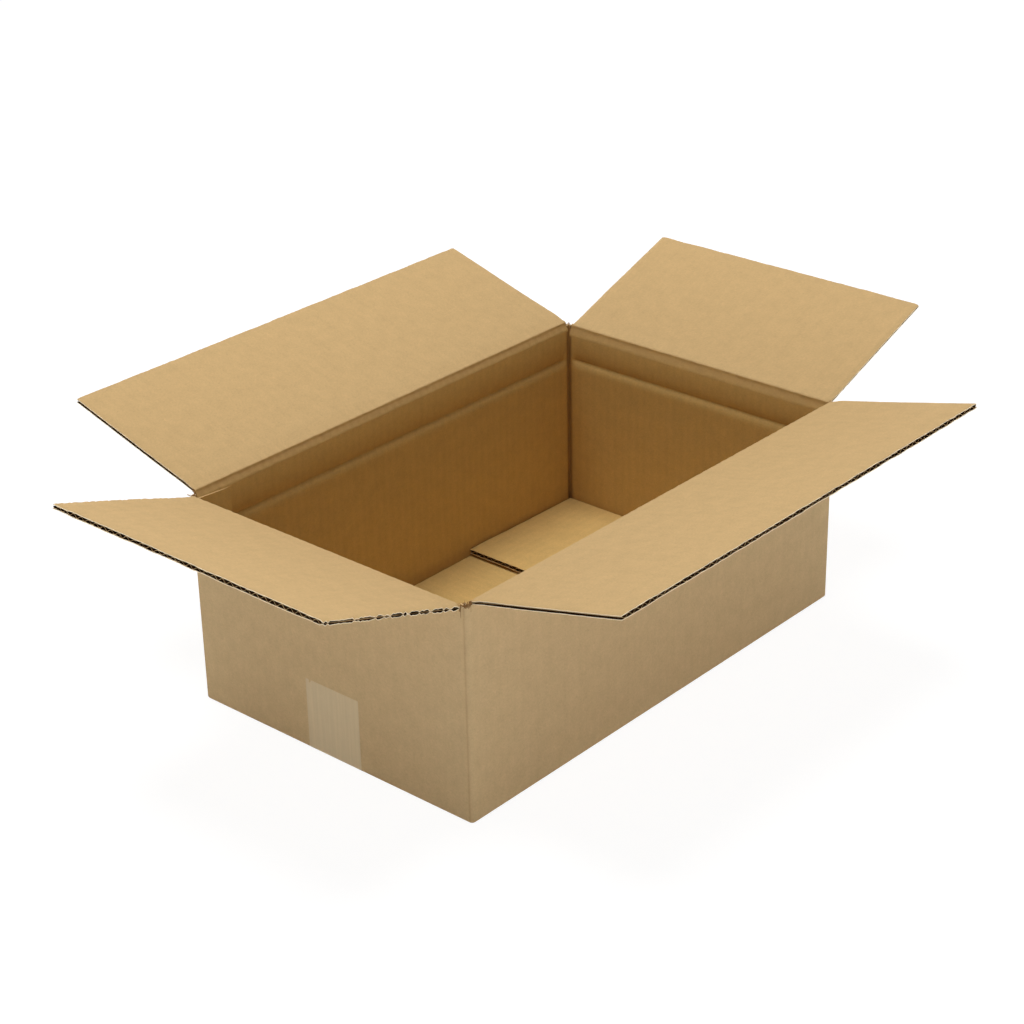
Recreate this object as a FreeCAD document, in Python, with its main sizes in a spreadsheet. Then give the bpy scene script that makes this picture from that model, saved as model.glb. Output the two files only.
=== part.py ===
import FreeCAD, Part
import os

import Sketcher

# Open carton of single-wall corrugated board, lying open on its taped bottom.
# One glued blank forms the four walls, the glue tab and the four bottom flaps (box_body).
# The four top flaps swing on the folds at the rim. A strip of tape closes the bottom seam.
# +X runs along the long walls, +Y from the front wall to the rear one, and z = 0 is the floor.

# Driving dimensions in millimetres and degrees. Each name is the alias of one cell.
SIZES = {
    # inside of the carton, and the board that it is folded from
    "inner_length": 400,
    "inner_width": 250,
    "board": 4,
    "corner_radius": 2.8,
    "bottom_radius": 2,
    "corner_groove_width": 5,
    "corner_groove_depth": 1.5,
    # rim: the long flaps fold one board higher than the end flaps, which close under them
    "long_fold_height": 162.3,
    "corner_drop": 2.1,
    "fold_skin": 1.2,
    "fold_clearance": 0.2,
    "slot_inset": 4.5,
    "slot_clearance": 0.3,
    # top flaps, and how far each one leans outwards from upright
    "flap_length": 125,
    "front_angle": 75.6,
    "rear_angle": 73.7,
    "left_angle": 71.6,
    "right_angle": 70.6,
    # corrugation that shows at the cut edges
    "flute_pitch": 7.4,
    "liner": 0.4,
    "medium": 0.35,
    "flute_depth": 2.5,
    "side_channel_depth": 1.2,
    # second score, pressed into the walls from inside for a lower carton
    "score_height": 134,
    "score_reach_up": 14,
    "score_reach_down": 10,
    "score_depth": 0.9,
    # bottom flaps: the long pair lies on the floor, the end pair on top of it
    "bottom_seam": 1,
    "bottom_side_gap": 0.5,
    "end_bottom_flap": 125,
    "layer_gap": 0.3,
    "layer_lift": 2,
    # glue tab, an extension of the left end wall on the inside of the rear wall
    "tab_width": 31,
    "tab_thickness": 2.5,
    "tab_taper": 8,
    # tape under the bottom seam and up both end walls
    "tape_width": 50,
    "tape_thickness": 0.1,
    "tape_rise": 56,
    "tape_offset": -2.4,
}

# Places that follow from the sizes, as expressions for the sketches.
OUTER_X = "(sizes.inner_length / 2 + sizes.board)"
OUTER_Y = "(sizes.inner_width / 2 + sizes.board)"
INNER_X = "(sizes.inner_length / 2)"
INNER_Y = "(sizes.inner_width / 2)"
UNDERSIDE = "sizes.tape_thickness"
LONG_FOLD = "sizes.long_fold_height"
END_FOLD = "(sizes.long_fold_height - sizes.board - sizes.fold_clearance)"
SHOULDER_DROP = "(sizes.board + sizes.fold_clearance)"
LONG_RIM = f"(2 * ({OUTER_X} - sizes.slot_inset))"
END_RIM = f"(2 * ({OUTER_Y} - sizes.slot_inset))"
LONG_FLAP_WIDTH = f"({LONG_RIM} - 2 * sizes.slot_clearance)"
END_FLAP_WIDTH = f"({END_RIM} - 2 * sizes.slot_clearance)"

CUT_MARGIN = 1
YAW_TO_REAR = 180
YAW_TO_LEFT = -90
YAW_TO_RIGHT = 90
SAME_PLACE = 0.01


def make_sheet(doc):
    sheet = doc.addObject("Spreadsheet::Sheet", "sizes")
    for row, (alias, size) in enumerate(SIZES.items(), start=1):
        sheet.set(f"A{row}", alias)
        sheet.set(f"B{row}", str(size))
        sheet.setAlias(f"B{row}", alias)
    doc.recompute()
    return sheet


def origin_plane(body, role):
    return next(item for item in body.Origin.OriginFeatures if item.Role == role)


def new_sketch(body, name, role, offset="0"):
    """Sketch on one of the body's own origin planes, moved along its normal."""
    sketch = body.newObject("Sketcher::SketchObject", name)
    sketch.AttachmentSupport = [(origin_plane(body, role), "")]
    sketch.MapMode = "FlatFace"
    sketch.setExpression("AttachmentOffset.Base.z", offset)
    return sketch


def add_outline(sketch, corners):
    """Closed outline of straight lines, each corner tied to the sizes by two distances."""
    places = [
        FreeCAD.Vector(float(sketch.evalExpression(x)), float(sketch.evalExpression(y)), 0)
        for x, y in corners
    ]
    first = sketch.GeometryCount
    count = len(corners)
    for i in range(count):
        sketch.addGeometry(Part.LineSegment(places[i], places[(i + 1) % count]), False)
    for i in range(count):
        joined = (first + i, 2, first + (i + 1) % count, 1)
        sketch.addConstraint(Sketcher.Constraint("Coincident", *joined))
        for kind, place, size in (
            ("DistanceX", places[i].x, corners[i][0]),
            ("DistanceY", places[i].y, corners[i][1]),
        ):
            distance = Sketcher.Constraint(kind, -1, 1, first + i, 1, place)
            index = sketch.addConstraint(distance)
            sketch.setExpression(f"Constraints[{index}]", size)


def add_rectangle(sketch, x_low, x_high, y_low, y_high):
    add_outline(sketch, [(x_low, y_low), (x_high, y_low), (x_high, y_high), (x_low, y_high)])


def add_both_sides(sketch, corners):
    """The same outline on the positive side and, mirrored, on the negative side."""
    for side in ("1", "-1"):
        add_outline(sketch, [(f"{side} * ({x})", y) for x, y in corners])


def add_pad(body, name, sketch, length, midplane=False):
    pad = body.newObject("PartDesign::Pad", name)
    pad.Profile = sketch
    pad.Midplane = midplane
    pad.setExpression("Length", length)
    return pad


def add_pocket(body, name, sketch, length, midplane=False, inwards=False):
    body.Document.recompute()
    before = body.Shape.Volume
    pocket = body.newObject("PartDesign::Pocket", name)
    pocket.Profile = sketch
    pocket.Midplane = midplane
    pocket.Reversed = inwards
    pocket.setExpression("Length", length)
    body.Document.recompute()
    if not pocket.Shape.Volume < before:
        raise RuntimeError(f"{name} removes nothing")
    return pocket


def edge_names(shape, test):
    return [f"Edge{i}" for i, edge in enumerate(shape.Edges, start=1) if test(edge)]


def add_edge_feature(body, kind, name, size_property, size, test):
    """Fillet or chamfer on the edges of the present tip that pass the test."""
    body.Document.recompute()
    base = body.Tip
    names = edge_names(base.Shape, test)
    feature = body.newObject(kind, name)
    feature.Base = (base, names)
    feature.setExpression(size_property, size)
    return feature


def is_upright(edge):
    box = edge.BoundBox
    return box.XLength < SAME_PLACE and box.YLength < SAME_PLACE


def lies_at_height(edge, height):
    box = edge.BoundBox
    return abs(box.ZMin - height) < SAME_PLACE and abs(box.ZMax - height) < SAME_PLACE


def make_body(doc, name):
    body = doc.addObject("PartDesign::Body", name)
    body.Label = name
    return body


def add_wall_ring(body, outer_x, outer_y, underside):
    """Four walls standing on the floor, with rolled outer corners and a rolled bottom edge."""
    plan = new_sketch(body, "wall_plan", "XY_Plane", UNDERSIDE)
    add_rectangle(plan, f"-{OUTER_X}", OUTER_X, f"-{OUTER_Y}", OUTER_Y)
    add_rectangle(plan, f"-{INNER_X}", INNER_X, f"-{INNER_Y}", INNER_Y)
    add_pad(body, "walls", plan, f"{LONG_FOLD} - sizes.corner_drop - {UNDERSIDE}")

    def outer_corner(edge):
        return is_upright(edge) and abs(abs(edge.BoundBox.XMin) - outer_x) < SAME_PLACE

    def outer_bottom(edge):
        box = edge.BoundBox
        reach_x = max(abs(box.XMin), abs(box.XMax))
        reach_y = max(abs(box.YMin), abs(box.YMax))
        outside = reach_x > outer_x - SAME_PLACE or reach_y > outer_y - SAME_PLACE
        return lies_at_height(edge, underside) and outside

    add_edge_feature(
        body, "PartDesign::Fillet", "rolled_corners", "Radius", "sizes.corner_radius", outer_corner
    )
    add_edge_feature(
        body, "PartDesign::Fillet", "rolled_bottom", "Radius", "sizes.bottom_radius", outer_bottom
    )


def add_corner_grooves(body):
    """Upright scores: the board is crushed from inside in each corner of the ring."""
    plan = new_sketch(body, "corner_groove_plan", "XY_Plane", "sizes.score_height")
    width = "sizes.corner_groove_width"
    depth = "sizes.corner_groove_depth"
    for side_x in ("1", "-1"):
        for side_y in ("1", "-1"):
            corner_plan = [
                (f"{INNER_X} - {width}", INNER_Y),
                (f"{INNER_X} - {width} / 2", f"{INNER_Y} + {depth} / 2"),
                (f"{INNER_X} + {depth}", f"{INNER_Y} + {depth}"),
                (f"{INNER_X} + {depth} / 2", f"{INNER_Y} - {width} / 2"),
                (INNER_X, f"{INNER_Y} - {width}"),
                (f"{INNER_X} - {CUT_MARGIN}", f"{INNER_Y} - {width}"),
                (f"{INNER_X} - {width}", f"{INNER_Y} - {CUT_MARGIN}"),
            ]
            add_outline(plan, [(f"{side_x} * ({x})", f"{side_y} * ({y})") for x, y in corner_plan])
    floor = f"({UNDERSIDE} + 2 * sizes.board + sizes.layer_gap)"
    add_pocket(body, "corner_grooves", plan, f"2 * (sizes.score_height - {floor})", midplane=True)


def add_bottom_flaps(body):
    """Long pair on the floor, meeting at the seam, and the end pair that rises off it."""
    long_plan = new_sketch(body, "long_bottom_plan", "XY_Plane", UNDERSIDE)
    half_length = f"({INNER_X} - sizes.bottom_side_gap)"
    for side in ("1", "-1"):
        seam = f"{side} * sizes.bottom_seam / 2"
        add_rectangle(long_plan, f"-{half_length}", half_length, seam, f"{side} * {INNER_Y}")
    add_pad(body, "long_bottom_flaps", long_plan, "sizes.board")

    end_profile = new_sketch(body, "end_bottom_profile", "XZ_Plane")
    at_wall = f"{UNDERSIDE} + sizes.board + sizes.layer_gap"
    free_edge = f"{INNER_X} - sizes.end_bottom_flap"
    add_both_sides(
        end_profile,
        [
            (INNER_X, at_wall),
            (INNER_X, f"{at_wall} + sizes.board"),
            (free_edge, f"{at_wall} + sizes.board + sizes.layer_lift"),
            (free_edge, f"{at_wall} + sizes.layer_lift"),
        ],
    )
    width = "sizes.inner_width - 2 * sizes.bottom_side_gap"
    add_pad(body, "end_bottom_flaps", end_profile, width, midplane=True)


def add_bottom_flutes(body):
    """Flute ends along the free edges of the two end bottom flaps."""
    width = "(sizes.inner_width - 2 * sizes.bottom_side_gap)"
    free_edge = f"({INNER_X} - sizes.end_bottom_flap)"
    lowest = f"({UNDERSIDE} + sizes.board + sizes.layer_gap + sizes.layer_lift)"
    for side, sign, inwards in (("right", "", True), ("left", "-", False)):
        add_flute_row(
            body, f"{side}_bottom_flutes", "YZ_Plane", f"{sign}{free_edge}", width,
            lambda place, height: (place, f"{lowest} + {height}"), inwards=inwards,
        )


def add_rim(body, name, role, outer, inner, fold, run):
    """Fold zone of two facing walls: board crushed to a thin outer skin, mitred at the axis."""
    shoulder = f"{fold} - {SHOULDER_DROP}"
    above = f"{LONG_FOLD} + {CUT_MARGIN}"
    gap = new_sketch(body, f"{name}_fold_gap_profile", role)
    add_both_sides(
        gap,
        [
            (f"{inner} - {CUT_MARGIN}", shoulder),
            (f"{outer} + {CUT_MARGIN}", shoulder),
            (f"{outer} + {CUT_MARGIN}", above),
            (f"{inner} - {CUT_MARGIN}", above),
        ],
    )
    add_pocket(body, f"{name}_fold_gap", gap, run, midplane=True)
    skin = new_sketch(body, f"{name}_fold_skin_profile", role)
    add_both_sides(
        skin,
        [
            (f"{outer} - sizes.fold_skin", shoulder),
            (outer, shoulder),
            (outer, fold),
            (f"{outer} - sizes.fold_skin", f"{fold} - sizes.fold_skin"),
        ],
    )
    add_pad(body, f"{name}_fold_skin", skin, run, midplane=True)


def add_second_score(body, name, role, inner, run):
    """Shallow valley on the inner faces of two facing walls."""
    profile = new_sketch(body, f"{name}_score_profile", role)
    shallow = f"{inner} + sizes.score_depth / 3"
    add_both_sides(
        profile,
        [
            (inner, "sizes.score_height - sizes.score_reach_down"),
            (shallow, "sizes.score_height - sizes.score_reach_down / 3"),
            (f"{inner} + sizes.score_depth", "sizes.score_height"),
            (shallow, "sizes.score_height + sizes.score_reach_up / 3"),
            (inner, "sizes.score_height + sizes.score_reach_up"),
        ],
    )
    add_pocket(body, f"{name}_score", profile, run, midplane=True)


def add_glue_tab(body):
    """Tapered tab of the left end wall, glued to the inside of the rear wall."""
    outline = new_sketch(body, "glue_tab_outline", "XZ_Plane", f"-{INNER_Y}")
    top = f"{END_FOLD} - {SHOULDER_DROP}"
    foot = f"{UNDERSIDE} + 2 * sizes.board + sizes.layer_gap + sizes.layer_lift"
    slope = "sizes.tab_width * tan(sizes.tab_taper * 1 deg)"
    free_edge = f"-{INNER_X} + sizes.tab_width"
    add_outline(
        outline,
        [
            (f"-{INNER_X}", foot),
            (free_edge, f"{foot} + {slope}"),
            (free_edge, f"{top} - {slope}"),
            (f"-{INNER_X}", top),
        ],
    )
    add_pad(body, "glue_tab", outline, "sizes.tab_thickness")


def make_box_body(doc):
    body = make_body(doc, "box_body")
    outer_x = float(body.evalExpression(OUTER_X))
    outer_y = float(body.evalExpression(OUTER_Y))
    underside = float(body.evalExpression(UNDERSIDE))
    add_wall_ring(body, outer_x, outer_y, underside)
    add_corner_grooves(body)
    add_bottom_flaps(body)
    add_rim(body, "long", "YZ_Plane", OUTER_Y, INNER_Y, LONG_FOLD, LONG_RIM)
    add_rim(body, "end", "XZ_Plane", OUTER_X, INNER_X, END_FOLD, END_RIM)
    between_corners = f"- 2 * (sizes.corner_groove_width + {CUT_MARGIN})"
    add_second_score(body, "long", "YZ_Plane", INNER_Y, f"sizes.inner_length {between_corners}")
    add_second_score(body, "end", "XZ_Plane", INNER_X, f"sizes.inner_width {between_corners}")
    add_glue_tab(body)
    add_bottom_flutes(body)
    return body


def add_flute_row(body, name, role, offset, width, across, inwards):
    """Open ends of the corrugation along a cut edge: two channels to each pitch.

    The sketch lies in the cut edge. across turns a place along the edge and a height within the
    board into the sketch's two directions.
    """
    pitch = "sizes.flute_pitch"
    count = f"floor(({width} - sizes.liner * 2) / {pitch})"
    start = f"(-{count} * {pitch} / 2)"
    sketch = new_sketch(body, f"{name}_ends", role, offset)
    # half widths of a channel along its own liner and along the far one
    wide = f"(0.35 * {pitch})"
    narrow = f"(0.08 * {pitch})"
    low = "sizes.liner"
    high = "(sizes.board - sizes.liner)"
    for centre, wide_at, narrow_at in (
        (f"({start} + 0.43 * {pitch})", low, f"({high} - sizes.medium)"),
        (f"({start} + 0.93 * {pitch})", high, f"({low} + sizes.medium)"),
    ):
        add_outline(
            sketch,
            [
                across(f"{centre} - {wide}", wide_at),
                across(f"{centre} + {wide}", wide_at),
                across(f"{centre} + {narrow}", narrow_at),
                across(f"{centre} - {narrow}", narrow_at),
            ],
        )
    pair = add_pocket(body, f"{name}_pair", sketch, "sizes.flute_depth", inwards=inwards)
    row = body.newObject("PartDesign::LinearPattern", f"{name}_row")
    row.Originals = [pair]
    row.Direction = (sketch, ["H_Axis"])
    row.setExpression("Occurrences", count)
    row.setExpression("Length", f"({count} - 1) * {pitch}")
    body.Tip = row


def add_side_channels(body, width):
    """Hollow between the liners along the two cut sides, which run with the flutes."""
    sketch = new_sketch(body, "side_channel_outline", "YZ_Plane", f"{width} / 2")
    add_rectangle(
        sketch,
        "sizes.liner",
        "sizes.board - sizes.liner",
        "sizes.fold_skin + sizes.fold_clearance + sizes.board",
        "sizes.flap_length - sizes.flute_depth - sizes.liner",
    )
    channel = add_pocket(body, "side_channel", sketch, "sizes.side_channel_depth")
    mirrored = body.newObject("PartDesign::Mirrored", "side_channels")
    mirrored.Originals = [channel]
    mirrored.MirrorPlane = (origin_plane(body, "YZ_Plane"), [""])
    body.Tip = mirrored


def make_flap(doc, name, width, angle, yaw, axis_place):
    """Top flap drawn upright with its outer face on y = 0 and the fold axis on x, then leant."""
    body = make_body(doc, name)
    profile = new_sketch(body, "flap_profile", "YZ_Plane")
    root = "sizes.fold_clearance + sizes.fold_skin"
    add_outline(
        profile,
        [
            ("0", "sizes.fold_clearance"),
            ("sizes.fold_skin", root),
            ("sizes.board", root),
            ("sizes.board", "sizes.flap_length"),
            ("0", "sizes.flap_length"),
        ],
    )
    add_pad(body, "flap_board", profile, width, midplane=True)
    add_side_channels(body, width)
    add_flute_row(
        body, "flutes", "XY_Plane", "sizes.flap_length", width, lambda place, height: (place, height),
        inwards=False,
    )
    x, y, z = axis_place
    lean = f"rotation(vector(1; 0; 0); sizes.{angle})"
    turn = f"rotation(vector(0; 0; 1); {yaw})"
    body.setExpression("Placement", f"placement(vector({x}; {y}; {z}); {turn} * {lean})")
    return body


def make_tape(doc):
    """Strip across the bottom seam, rolled up both end walls."""
    body = make_body(doc, "sealing_tape")
    profile = new_sketch(body, "tape_profile", "XZ_Plane", "-sizes.tape_offset")
    outer_x = f"({OUTER_X} + sizes.tape_thickness)"
    add_outline(
        profile,
        [
            (f"-{outer_x}", "0"),
            (outer_x, "0"),
            (outer_x, "sizes.tape_rise"),
            (OUTER_X, "sizes.tape_rise"),
            (OUTER_X, UNDERSIDE),
            (f"-{OUTER_X}", UNDERSIDE),
            (f"-{OUTER_X}", "sizes.tape_rise"),
            (f"-{outer_x}", "sizes.tape_rise"),
        ],
    )
    add_pad(body, "tape_strip", profile, "sizes.tape_width", midplane=True)
    inner_bend = float(body.evalExpression(UNDERSIDE))
    outer_reach = float(body.evalExpression(OUTER_X)) - SAME_PLACE

    def bend_edge(height):
        return lambda edge: lies_at_height(edge, height) and abs(edge.BoundBox.XMin) > outer_reach \
            and edge.BoundBox.XLength < SAME_PLACE

    add_edge_feature(
        body, "PartDesign::Fillet", "inner_bends", "Radius", "sizes.bottom_radius",
        bend_edge(inner_bend),
    )
    add_edge_feature(
        body, "PartDesign::Fillet", "outer_bends", "Radius",
        "sizes.bottom_radius + sizes.tape_thickness", bend_edge(0),
    )
    return body


def make_parts(doc):
    front_axis = ("0", f"-{OUTER_Y}", LONG_FOLD)
    rear_axis = ("0", OUTER_Y, LONG_FOLD)
    left_axis = (f"-{OUTER_X}", "0", END_FOLD)
    right_axis = (OUTER_X, "0", END_FOLD)
    return [
        make_box_body(doc),
        make_flap(doc, "front_flap", LONG_FLAP_WIDTH, "front_angle", 0, front_axis),
        make_flap(doc, "rear_flap", LONG_FLAP_WIDTH, "rear_angle", YAW_TO_REAR, rear_axis),
        make_flap(doc, "left_end_flap", END_FLAP_WIDTH, "left_angle", YAW_TO_LEFT, left_axis),
        make_flap(doc, "right_end_flap", END_FLAP_WIDTH, "right_angle", YAW_TO_RIGHT, right_axis),
        make_tape(doc),
    ]


def check_document(doc, parts):
    failed = [o.Label for o in doc.Objects if "Invalid" in o.State or "Error" in o.State]
    if failed:
        raise RuntimeError(f"failed objects: {failed}")
    for part in parts:
        if part.Shape.isNull() or not part.Shape.isValid() or len(part.Shape.Solids) != 1:
            raise RuntimeError(f"{part.Label} is not one valid solid")


def main():
    os.makedirs("parts", exist_ok=True)
    doc = FreeCAD.newDocument("open_carton")
    make_sheet(doc)
    parts = make_parts(doc)
    doc.recompute()
    check_document(doc, parts)
    for part in parts:
        part.Shape.exportStep(f"parts/{part.Label}.step")
        box = part.Shape.BoundBox
        print(f"{part.Label}: {part.Shape.Volume:.0f} mm3, z {box.ZMin:.2f} to {box.ZMax:.2f}")


main()
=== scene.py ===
import math
import random

import bpy
import numpy as np
from mathutils import Matrix, Vector, noise


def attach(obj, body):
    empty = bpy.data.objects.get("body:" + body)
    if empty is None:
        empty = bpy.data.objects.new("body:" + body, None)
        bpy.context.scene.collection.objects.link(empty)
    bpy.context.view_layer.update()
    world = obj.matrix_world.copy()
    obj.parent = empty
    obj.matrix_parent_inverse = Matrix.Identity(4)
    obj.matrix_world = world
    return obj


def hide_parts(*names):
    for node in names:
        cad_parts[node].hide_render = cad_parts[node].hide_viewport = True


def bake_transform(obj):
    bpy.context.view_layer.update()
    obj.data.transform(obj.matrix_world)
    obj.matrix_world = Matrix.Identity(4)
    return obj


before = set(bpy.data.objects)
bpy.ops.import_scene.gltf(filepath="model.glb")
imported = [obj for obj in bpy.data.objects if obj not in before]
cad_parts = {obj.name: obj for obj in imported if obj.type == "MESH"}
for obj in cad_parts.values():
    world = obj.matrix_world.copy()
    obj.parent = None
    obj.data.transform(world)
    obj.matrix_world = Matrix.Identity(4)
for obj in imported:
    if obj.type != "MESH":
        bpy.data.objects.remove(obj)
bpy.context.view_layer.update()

bl_info = {
    "name": "Open carton",
    "version": (1, 0, 0),
    "blender": (4, 5, 0),
    "location": "View3D > Sidebar > Carton",
    "description": "Dresses an open carton of single-wall corrugated board",
    "category": "Add Mesh",
}

MM = 0.001
BODY = "carton"
UV_NAME = "UVMap"
# Point attribute of painted shade: how far a liner colour is darkened towards the torn colour.
PAINTED_SHADE = "wear"

# Half sizes outside, and the two fold heights: the long flaps close on top of the end flaps.
HALF_LENGTH = 204 * MM
HALF_WIDTH = 129 * MM
LONG_FOLD = 162.3 * MM
END_FOLD = 158.1 * MM
WALL_THICKNESS = 4 * MM
UNDERSIDE = 0.1 * MM
POST_TOP = 161.6 * MM
CORNER_RADIUS = 3.2 * MM

# One row for each wall, in the order of the blank: the distance of its outer face from the
# middle, half its own length, its fold height, its yaw, the lean of its top flap at rest in
# degrees, and where its middle lies along the flat blank.
LONG_WALL = dict(reach=HALF_WIDTH, half=HALF_LENGTH, fold=LONG_FOLD)
END_WALL = dict(reach=HALF_LENGTH, half=HALF_WIDTH, fold=END_FOLD)
WALLS = {
    "front": dict(LONG_WALL, yaw=0, lean=75.6, start=0.0),
    "right": dict(END_WALL, yaw=90, lean=70.6, start=0.333),
    "rear": dict(LONG_WALL, yaw=180, lean=73.7, start=0.666),
    "left": dict(END_WALL, yaw=-90, lean=71.6, start=0.999),
}

# Heights in millimetres of the rows of points up the outside and down the inside of the walls,
# closest at the second score. Above the break a row has its inset at the posts, in millimetres,
# and its share of the way up to the rim.
BREAK_HEIGHT = 149 * MM
OUTER_HEIGHTS = (
    6, 14, 26, 40, 55, 70, 85, 100, 112, 120, 126, 130, 132.5, 134, 135.5, 138, 142, 146, 149)
INNER_HEIGHTS = (
    149, 148, 146, 144, 142, 140, 138.4, 137, 136, 135.2, 134.6, 134.2, 133.95, 133.8, 133.55,
    133.2, 132.7, 132, 131, 129.5, 127.5, 125, 121, 115, 105, 92, 78, 64, 50, 36, 24, 15, 9, 5)
RIM_ROWS = ((0.0, 0.25), (0.0, 0.55), (0.0, 0.8), (0.0, 0.93), (0.12, 0.985), (0.45, 1.0))
FLOOR_ROLL = 2 * MM

# One row for each top flap: its node, the thickness of its squeezed root, how far its cut sides
# are crushed, how much further on the torn side of positive x, and how evenly they are closed.
FLAPS = {
    "front": dict(node="front_flap", root=2.9 * MM, crush=0.42, torn=0.0, closed=0.8),
    "right": dict(node="right_end_flap", root=4.4 * MM, crush=0.95, torn=0.0, closed=0.85),
    "rear": dict(node="rear_flap", root=2.9 * MM, crush=0.42, torn=0.0, closed=0.8),
    "left": dict(node="left_end_flap", root=4.4 * MM, crush=0.30, torn=0.65, closed=0.0),
}
FLAP_MARGIN = 4.8 * MM
FLAP_ROOT = 1.4 * MM
FLAP_END = 125 * MM

# The folds reach down to the seam, and their inner liner has its dip, its roll and its painted
# shade by the number of the point along the section, darkest in the crease below the roll.
SEAM_DROP = 5 * MM
FOLD_DEPTH = 1.6 * MM
ROLL_HEIGHT = 1.6 * MM
CREASE_POINTS = range(3, 15)
FOLD_LINER_ROW = 11
FOLD_PAINTED_SHADE = (0.0, 0.2, 0.38, 0.52, 0.62, 0.68, 0.7, 0.68, 0.62, 0.55, 0.45, 0.3, 0.12)

# The glue tab in millimetres: its width, the length of its rows, its two ends and the face that
# it is glued to. Its start along the flat blank is in metres.
TAB_WIDTH = 31.0
TAB_RUN = 146.0
TAB_FOOT = 10.6
TAB_TOP = 159.3
TAB_WALL = 125.0
TAB_START = 1.13

# The bottom flaps: how far each reaches from its wall, and the widths that they are cut to.
BOTTOM_REACH = 125 * MM
LONG_BOTTOM_WIDTH = 398.5 * MM
END_BOTTOM_WIDTH = 248.5 * MM
BOTTOM_RISE = 2 * MM

# The stage: floor, lamp, and the camera that the photograph was taken with.
FLOOR_HALF = 8.0
FLOOR_LEVEL = -0.05 * MM
FLOOR_GLOW = 1.16
LAMP_SIZE = 1.3
LAMP_PLACE = (0.00, 0.30, 2.4)
LAMP_AIM = (0, 0, 0.1)
CAMERA_SENSOR = 36
CAMERA_LENS = 83.67
CAMERA_CLIP = (0.05, 50)
CAMERA_PLACE = (-1161.65, -1021.24, 874.56)
CAMERA_FORWARD = (0.66995, 0.59596, -0.44272)
CAMERA_RIGHT = (0.65744, -0.75326, -0.01911)


class BoardSizes(bpy.types.PropertyGroup):
    """The corrugated board that the carton is cut from."""

    thickness: bpy.props.FloatProperty(
        name="Board", description="Thickness of the board", default=0.004, unit="LENGTH")
    liner: bpy.props.FloatProperty(
        name="Liner", description="Thickness of each paper liner", default=0.00055, unit="LENGTH")
    medium: bpy.props.FloatProperty(
        name="Medium", description="Thickness of the fluted paper", default=0.0004, unit="LENGTH")
    pitch: bpy.props.FloatProperty(
        name="Flute pitch", description="Distance between two flutes", default=0.0074,
        unit="LENGTH")
    washboard: bpy.props.FloatProperty(
        name="Washboard", description="How far the flutes press through the liner",
        default=0.00002, unit="LENGTH", precision=6)
    score_height: bpy.props.FloatProperty(
        name="Second score", description="Height of the score for a lower carton",
        default=0.1338, unit="LENGTH")
    score_depth: bpy.props.FloatProperty(
        name="Score depth", description="How deep the second score is pressed",
        default=0.0017, unit="LENGTH")


class BoardColours(bpy.types.PropertyGroup):
    """Colours of the unbleached paper."""

    liner: bpy.props.FloatVectorProperty(
        name="Liner", description="Colour of the kraft liner of the flaps", subtype="COLOR",
        size=3, default=(0.59, 0.40, 0.188))
    # A copy of the liner colour, paler and less yellow, for the outer walls that stand in shade
    # under the flaps: painted light.
    outside: bpy.props.FloatVectorProperty(
        name="Outside", description="Colour of the liner outside the walls", subtype="COLOR",
        size=3, default=(0.59, 0.43, 0.235))
    # A copy of the liner colour, darker in blue and more saturated, for the inside of the carton:
    # painted shade.
    inside: bpy.props.FloatVectorProperty(
        name="Inside", description="Colour of the liner inside the walls", subtype="COLOR",
        size=3, default=(0.61, 0.405, 0.148))
    cut: bpy.props.FloatVectorProperty(
        name="Cut edge", description="Colour of the cut paper fibres", subtype="COLOR",
        size=3, default=(0.96, 0.80, 0.56))
    # The fluted paper is kraft like the liners; its near black colour is painted shade for the
    # hollows between the flutes.
    medium: bpy.props.FloatVectorProperty(
        name="Medium", description="Colour of the fluted paper", subtype="COLOR",
        size=3, default=(0.075, 0.032, 0.013))
    flute_edge: bpy.props.FloatVectorProperty(
        name="Flute edge", description="Colour of the cut edge of the fluted paper",
        subtype="COLOR", size=3, default=(0.56, 0.37, 0.18))
    # It is also the colour that painted shade darkens the liners towards.
    torn: bpy.props.FloatVectorProperty(
        name="Torn fibres", description="Colour of the torn paper inside the board",
        subtype="COLOR", size=3, default=(0.34, 0.19, 0.08))


class TapeSettings(bpy.types.PropertyGroup):
    """The strip of packing tape over the bottom seam."""

    width: bpy.props.FloatProperty(
        name="Width", description="Width of the tape", default=0.050, unit="LENGTH")
    offset: bpy.props.FloatProperty(
        name="Offset", description="Distance of its middle from the seam, towards the rear",
        default=-0.0024, unit="LENGTH")
    rise: bpy.props.FloatProperty(
        name="Rise", description="How far it climbs each end wall", default=0.056, unit="LENGTH")
    colour: bpy.props.FloatVectorProperty(
        name="Film", description="Colour of the board seen through the film", subtype="COLOR",
        size=3, default=(0.61, 0.475, 0.275))


class StageSettings(bpy.types.PropertyGroup):
    """Floor, soft light and camera."""

    sky: bpy.props.FloatProperty(
        name="Sky", description="Strength of the even light from above", default=0.17)
    horizon: bpy.props.FloatProperty(
        name="Horizon", description="Strength of the light from low down all round", default=5.6)
    lean: bpy.props.FloatProperty(
        name="Lean", description="How much stronger the low light is on the right than on the left",
        default=0.20)
    lamp: bpy.props.FloatProperty(
        name="Lamp", description="Power of the soft lamp above and behind", default=42.0)
    floor: bpy.props.FloatVectorProperty(
        name="Floor", description="Colour of the floor", subtype="COLOR", size=3,
        default=(0.90, 0.90, 0.90))


def settings(name):
    return getattr(bpy.context.scene, f"carton_{name}")


# Node trees

FLOAT, VECTOR = "NodeSocketFloat", "NodeSocketVector"


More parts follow.
